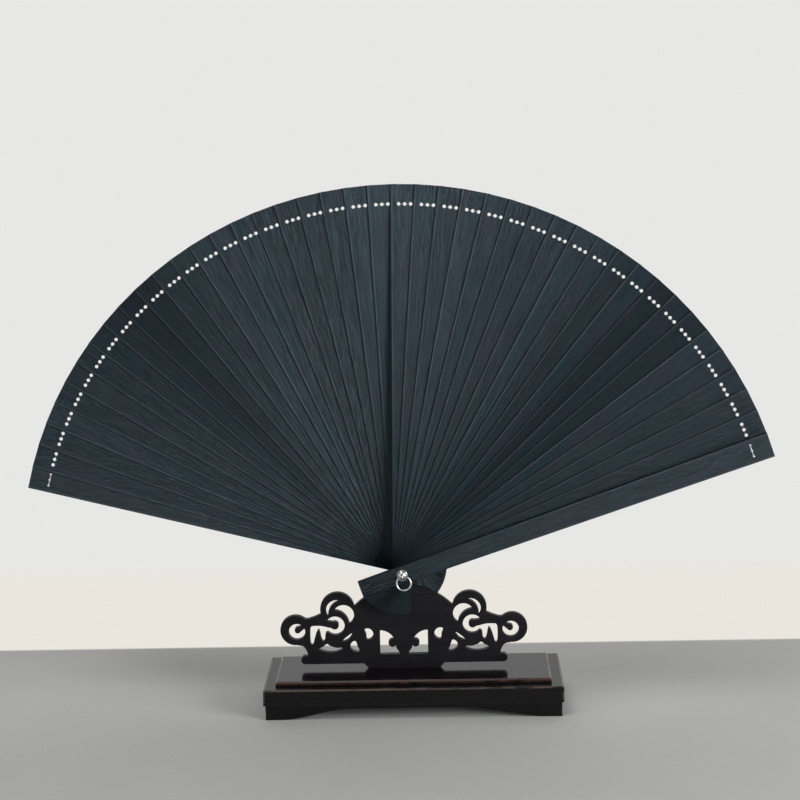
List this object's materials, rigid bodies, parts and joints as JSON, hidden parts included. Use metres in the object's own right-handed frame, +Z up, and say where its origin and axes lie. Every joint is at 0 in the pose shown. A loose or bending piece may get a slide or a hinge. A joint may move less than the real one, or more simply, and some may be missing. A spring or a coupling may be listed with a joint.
{
  "type": "folding hand fan on a display stand",
  "caption": "Open folding fan of thin flat tapered slats between two thicker guards on one rivet with a ring, held upright by a fretwork plate on a low rectangular plinth.",
  "frame": {"origin": "bottom centre of the whole object's box, on the surface that the plinth stands on, midway between the two guards' outer tip corners", "axes": "+X to the right along the plinth, +Y from the fan's front to its back along the rivet, +Z up"},
  "size_m": [0.3864, 0.062, 0.2711],
  "materials": {
    "leaf_bamboo": "satin dyed bamboo",
    "guard_bamboo": "satin dyed bamboo",
    "thread": "twisted white thread",
    "polished_steel": "polished",
    "fretwork_wood": "satin black stain",
    "panel_lacquer": "gloss black lacquer",
    "plinth_lacquer": "semi-gloss black lacquer"
  },
  "bodies": {
    "stand": {"fretwork_plate": "fretwork_wood", "plinth_panel": "panel_lacquer", "plinth_board": "plinth_lacquer", "plinth_skirt": "plinth_lacquer"},
    "fan_core": {"rivet_shaft": "polished_steel", "rivet_head_front": "polished_steel", "rivet_head_rear": "polished_steel", "washer_front": "polished_steel", "washer_rear": "polished_steel", "leaf_21": "leaf_bamboo"},
    "ring": {"tassel_ring": "polished_steel"},
    "rear_guard": {"rear_guard": "guard_bamboo"},
    "front_guard": {"front_guard": "guard_bamboo"},
    "leaf_01": {"leaf_01": "leaf_bamboo"},
    "leaf_02": {"leaf_02": "leaf_bamboo"},
    "leaf_03": {"leaf_03": "leaf_bamboo"},
    "leaf_04": {"leaf_04": "leaf_bamboo"},
    "leaf_05": {"leaf_05": "leaf_bamboo"},
    "leaf_06": {"leaf_06": "leaf_bamboo"},
    "leaf_07": {"leaf_07": "leaf_bamboo"},
    "leaf_08": {"leaf_08": "leaf_bamboo"},
    "leaf_09": {"leaf_09": "leaf_bamboo"},
    "leaf_10": {"leaf_10": "leaf_bamboo"},
    "leaf_11": {"leaf_11": "leaf_bamboo"},
    "leaf_12": {"leaf_12": "leaf_bamboo"},
    "leaf_13": {"leaf_13": "leaf_bamboo"},
    "leaf_14": {"leaf_14": "leaf_bamboo"},
    "leaf_15": {"leaf_15": "leaf_bamboo"},
    "leaf_16": {"leaf_16": "leaf_bamboo"},
    "leaf_17": {"leaf_17": "leaf_bamboo"},
    "leaf_18": {"leaf_18": "leaf_bamboo"},
    "leaf_19": {"leaf_19": "leaf_bamboo"},
    "leaf_20": {"leaf_20": "leaf_bamboo"},
    "leaf_22": {"leaf_22": "leaf_bamboo"},
    "leaf_23": {"leaf_23": "leaf_bamboo"},
    "leaf_24": {"leaf_24": "leaf_bamboo"},
    "leaf_25": {"leaf_25": "leaf_bamboo"},
    "leaf_26": {"leaf_26": "leaf_bamboo"},
    "leaf_27": {"leaf_27": "leaf_bamboo"},
    "leaf_28": {"leaf_28": "leaf_bamboo"},
    "leaf_29": {"leaf_29": "leaf_bamboo"},
    "leaf_30": {"leaf_30": "leaf_bamboo"},
    "leaf_31": {"leaf_31": "leaf_bamboo"},
    "leaf_32": {"leaf_32": "leaf_bamboo"},
    "leaf_33": {"leaf_33": "leaf_bamboo"},
    "leaf_34": {"leaf_34": "leaf_bamboo"},
    "leaf_35": {"leaf_35": "leaf_bamboo"},
    "leaf_36": {"leaf_36": "leaf_bamboo"},
    "leaf_37": {"leaf_37": "leaf_bamboo"},
    "leaf_38": {"leaf_38": "leaf_bamboo"},
    "leaf_39": {"leaf_39": "leaf_bamboo"},
    "leaf_40": {"leaf_40": "leaf_bamboo"},
    "leaf_41": {"leaf_41": "leaf_bamboo"}
  },
  "joints": [
    {"name": "lift_off", "type": "slide", "parent": "stand", "child": "fan_core", "axis": [0, 0, 1], "range_m": [0, 0.03]},
    {"name": "ring_swing", "type": "hinge", "parent": "fan_core", "child": "ring", "pos_m": [0.0018, -0.01573, 0.071], "axis": [-1, 0, 0], "range_deg": [-15, 120]},
    {"name": "fold", "type": "hinge", "parent": "fan_core", "child": "rear_guard", "pos_m": [0.0018, 0, 0.071], "axis": [0, 1, 0], "range_deg": [0, 73.15]},
    {"name": "front_guard_turn", "type": "hinge", "parent": "fan_core", "child": "front_guard", "pos_m": [0.0018, 0, 0.071], "axis": [0, 1, 0], "range_deg": [-73.15, 0]},
    {"name": "leaf_01_turn", "type": "hinge", "parent": "fan_core", "child": "leaf_01", "pos_m": [0.0018, 0, 0.071], "axis": [0, 1, 0], "range_deg": [-69.67, 0]},
    {"name": "leaf_02_turn", "type": "hinge", "parent": "fan_core", "child": "leaf_02", "pos_m": [0.0018, 0, 0.071], "axis": [0, 1, 0], "range_deg": [-66.18, 0]},
    {"name": "leaf_03_turn", "type": "hinge", "parent": "fan_core", "child": "leaf_03", "pos_m": [0.0018, 0, 0.071], "axis": [0, 1, 0], "range_deg": [-62.7, 0]},
    {"name": "leaf_04_turn", "type": "hinge", "parent": "fan_core", "child": "leaf_04", "pos_m": [0.0018, 0, 0.071], "axis": [0, 1, 0], "range_deg": [-59.22, 0]},
    {"name": "leaf_05_turn", "type": "hinge", "parent": "fan_core", "child": "leaf_05", "pos_m": [0.0018, 0, 0.071], "axis": [0, 1, 0], "range_deg": [-55.73, 0]},
    {"name": "leaf_06_turn", "type": "hinge", "parent": "fan_core", "child": "leaf_06", "pos_m": [0.0018, 0, 0.071], "axis": [0, 1, 0], "range_deg": [-52.25, 0]},
    {"name": "leaf_07_turn", "type": "hinge", "parent": "fan_core", "child": "leaf_07", "pos_m": [0.0018, 0, 0.071], "axis": [0, 1, 0], "range_deg": [-48.77, 0]},
    {"name": "leaf_08_turn", "type": "hinge", "parent": "fan_core", "child": "leaf_08", "pos_m": [0.0018, 0, 0.071], "axis": [0, 1, 0], "range_deg": [-45.28, 0]},
    {"name": "leaf_09_turn", "type": "hinge", "parent": "fan_core", "child": "leaf_09", "pos_m": [0.0018, 0, 0.071], "axis": [0, 1, 0], "range_deg": [-41.8, 0]},
    {"name": "leaf_10_turn", "type": "hinge", "parent": "fan_core", "child": "leaf_10", "pos_m": [0.0018, 0, 0.071], "axis": [0, 1, 0], "range_deg": [-38.32, 0]},
    {"name": "leaf_11_turn", "type": "hinge", "parent": "fan_core", "child": "leaf_11", "pos_m": [0.0018, 0, 0.071], "axis": [0, 1, 0], "range_deg": [-34.83, 0]},
    {"name": "leaf_12_turn", "type": "hinge", "parent": "fan_core", "child": "leaf_12", "pos_m": [0.0018, 0, 0.071], "axis": [0, 1, 0], "range_deg": [-31.35, 0]},
    {"name": "leaf_13_turn", "type": "hinge", "parent": "fan_core", "child": "leaf_13", "pos_m": [0.0018, 0, 0.071], "axis": [0, 1, 0], "range_deg": [-27.87, 0]},
    {"name": "leaf_14_turn", "type": "hinge", "parent": "fan_core", "child": "leaf_14", "pos_m": [0.0018, 0, 0.071], "axis": [0, 1, 0], "range_deg": [-24.38, 0]},
    {"name": "leaf_15_turn", "type": "hinge", "parent": "fan_core", "child": "leaf_15", "pos_m": [0.0018, 0, 0.071], "axis": [0, 1, 0], "range_deg": [-20.9, 0]},
    {"name": "leaf_16_turn", "type": "hinge", "parent": "fan_core", "child": "leaf_16", "pos_m": [0.0018, 0, 0.071], "axis": [0, 1, 0], "range_deg": [-17.42, 0]},
    {"name": "leaf_17_turn", "type": "hinge", "parent": "fan_core", "child": "leaf_17", "pos_m": [0.0018, 0, 0.071], "axis": [0, 1, 0], "range_deg": [-13.93, 0]},
    {"name": "leaf_18_turn", "type": "hinge", "parent": "fan_core", "child": "leaf_18", "pos_m": [0.0018, 0, 0.071], "axis": [0, 1, 0], "range_deg": [-10.45, 0]},
    {"name": "leaf_19_turn", "type": "hinge", "parent": "fan_core", "child": "leaf_19", "pos_m": [0.0018, 0, 0.071], "axis": [0, 1, 0], "range_deg": [-6.97, 0]},
    {"name": "leaf_20_turn", "type": "hinge", "parent": "fan_core", "child": "leaf_20", "pos_m": [0.0018, 0, 0.071], "axis": [0, 1, 0], "range_deg": [-3.48, 0]},
    {"name": "leaf_22_turn", "type": "hinge", "parent": "fan_core", "child": "leaf_22", "pos_m": [0.0018, 0, 0.071], "axis": [0, 1, 0], "range_deg": [0, 3.48]},
    {"name": "leaf_23_turn", "type": "hinge", "parent": "fan_core", "child": "leaf_23", "pos_m": [0.0018, 0, 0.071], "axis": [0, 1, 0], "range_deg": [0, 6.97]},
    {"name": "leaf_24_turn", "type": "hinge", "parent": "fan_core", "child": "leaf_24", "pos_m": [0.0018, 0, 0.071], "axis": [0, 1, 0], "range_deg": [0, 10.45]},
    {"name": "leaf_25_turn", "type": "hinge", "parent": "fan_core", "child": "leaf_25", "pos_m": [0.0018, 0, 0.071], "axis": [0, 1, 0], "range_deg": [0, 13.93]},
    {"name": "leaf_26_turn", "type": "hinge", "parent": "fan_core", "child": "leaf_26", "pos_m": [0.0018, 0, 0.071], "axis": [0, 1, 0], "range_deg": [0, 17.42]},
    {"name": "leaf_27_turn", "type": "hinge", "parent": "fan_core", "child": "leaf_27", "pos_m": [0.0018, 0, 0.071], "axis": [0, 1, 0], "range_deg": [0, 20.9]},
    {"name": "leaf_28_turn", "type": "hinge", "parent": "fan_core", "child": "leaf_28", "pos_m": [0.0018, 0, 0.071], "axis": [0, 1, 0], "range_deg": [0, 24.38]},
    {"name": "leaf_29_turn", "type": "hinge", "parent": "fan_core", "child": "leaf_29", "pos_m": [0.0018, 0, 0.071], "axis": [0, 1, 0], "range_deg": [0, 27.87]},
    {"name": "leaf_30_turn", "type": "hinge", "parent": "fan_core", "child": "leaf_30", "pos_m": [0.0018, 0, 0.071], "axis": [0, 1, 0], "range_deg": [0, 31.35]},
    {"name": "leaf_31_turn", "type": "hinge", "parent": "fan_core", "child": "leaf_31", "pos_m": [0.0018, 0, 0.071], "axis": [0, 1, 0], "range_deg": [0, 34.83]},
    {"name": "leaf_32_turn", "type": "hinge", "parent": "fan_core", "child": "leaf_32", "pos_m": [0.0018, 0, 0.071], "axis": [0, 1, 0], "range_deg": [0, 38.32]},
    {"name": "leaf_33_turn", "type": "hinge", "parent": "fan_core", "child": "leaf_33", "pos_m": [0.0018, 0, 0.071], "axis": [0, 1, 0], "range_deg": [0, 41.8]},
    {"name": "leaf_34_turn", "type": "hinge", "parent": "fan_core", "child": "leaf_34", "pos_m": [0.0018, 0, 0.071], "axis": [0, 1, 0], "range_deg": [0, 45.28]},
    {"name": "leaf_35_turn", "type": "hinge", "parent": "fan_core", "child": "leaf_35", "pos_m": [0.0018, 0, 0.071], "axis": [0, 1, 0], "range_deg": [0, 48.77]},
    {"name": "leaf_36_turn", "type": "hinge", "parent": "fan_core", "child": "leaf_36", "pos_m": [0.0018, 0, 0.071], "axis": [0, 1, 0], "range_deg": [0, 52.25]},
    {"name": "leaf_37_turn", "type": "hinge", "parent": "fan_core", "child": "leaf_37", "pos_m": [0.0018, 0, 0.071], "axis": [0, 1, 0], "range_deg": [0, 55.73]},
    {"name": "leaf_38_turn", "type": "hinge", "parent": "fan_core", "child": "leaf_38", "pos_m": [0.0018, 0, 0.071], "axis": [0, 1, 0], "range_deg": [0, 59.22]},
    {"name": "leaf_39_turn", "type": "hinge", "parent": "fan_core", "child": "leaf_39", "pos_m": [0.0018, 0, 0.071], "axis": [0, 1, 0], "range_deg": [0, 62.7]},
    {"name": "leaf_40_turn", "type": "hinge", "parent": "fan_core", "child": "leaf_40", "pos_m": [0.0018, 0, 0.071], "axis": [0, 1, 0], "range_deg": [0, 66.18]},
    {"name": "leaf_41_turn", "type": "hinge", "parent": "fan_core", "child": "leaf_41", "pos_m": [0.0018, 0, 0.071], "axis": [0, 1, 0], "range_deg": [0, 69.67]}
  ],
  "couplings": [
    {"joint": "front_guard_turn", "follows": "fold", "ratio": -1},
    {"joint": "leaf_01_turn", "follows": "fold", "ratio": -0.95238},
    {"joint": "leaf_02_turn", "follows": "fold", "ratio": -0.90476},
    {"joint": "leaf_03_turn", "follows": "fold", "ratio": -0.85714},
    {"joint": "leaf_04_turn", "follows": "fold", "ratio": -0.80952},
    {"joint": "leaf_05_turn", "follows": "fold", "ratio": -0.76191},
    {"joint": "leaf_06_turn", "follows": "fold", "ratio": -0.71429},
    {"joint": "leaf_07_turn", "follows": "fold", "ratio": -0.66667},
    {"joint": "leaf_08_turn", "follows": "fold", "ratio": -0.61905},
    {"joint": "leaf_09_turn", "follows": "fold", "ratio": -0.57143},
    {"joint": "leaf_10_turn", "follows": "fold", "ratio": -0.52381},
    {"joint": "leaf_11_turn", "follows": "fold", "ratio": -0.47619},
    {"joint": "leaf_12_turn", "follows": "fold", "ratio": -0.42857},
    {"joint": "leaf_13_turn", "follows": "fold", "ratio": -0.38095},
    {"joint": "leaf_14_turn", "follows": "fold", "ratio": -0.33333},
    {"joint": "leaf_15_turn", "follows": "fold", "ratio": -0.28571},
    {"joint": "leaf_16_turn", "follows": "fold", "ratio": -0.2381},
    {"joint": "leaf_17_turn", "follows": "fold", "ratio": -0.19048},
    {"joint": "leaf_18_turn", "follows": "fold", "ratio": -0.14286},
    {"joint": "leaf_19_turn", "follows": "fold", "ratio": -0.095238},
    {"joint": "leaf_20_turn", "follows": "fold", "ratio": -0.047619},
    {"joint": "leaf_22_turn", "follows": "fold", "ratio": 0.047619},
    {"joint": "leaf_23_turn", "follows": "fold", "ratio": 0.095238},
    {"joint": "leaf_24_turn", "follows": "fold", "ratio": 0.14286},
    {"joint": "leaf_25_turn", "follows": "fold", "ratio": 0.19048},
    {"joint": "leaf_26_turn", "follows": "fold", "ratio": 0.2381},
    {"joint": "leaf_27_turn", "follows": "fold", "ratio": 0.28571},
    {"joint": "leaf_28_turn", "follows": "fold", "ratio": 0.33333},
    {"joint": "leaf_29_turn", "follows": "fold", "ratio": 0.38095},
    {"joint": "leaf_30_turn", "follows": "fold", "ratio": 0.42857},
    {"joint": "leaf_31_turn", "follows": "fold", "ratio": 0.47619},
    {"joint": "leaf_32_turn", "follows": "fold", "ratio": 0.52381},
    {"joint": "leaf_33_turn", "follows": "fold", "ratio": 0.57143},
    {"joint": "leaf_34_turn", "follows": "fold", "ratio": 0.61905},
    {"joint": "leaf_35_turn", "follows": "fold", "ratio": 0.66667},
    {"joint": "leaf_36_turn", "follows": "fold", "ratio": 0.71429},
    {"joint": "leaf_37_turn", "follows": "fold", "ratio": 0.76191},
    {"joint": "leaf_38_turn", "follows": "fold", "ratio": 0.80952},
    {"joint": "leaf_39_turn", "follows": "fold", "ratio": 0.85714},
    {"joint": "leaf_40_turn", "follows": "fold", "ratio": 0.90476},
    {"joint": "leaf_41_turn", "follows": "fold", "ratio": 0.95238}
  ]
}
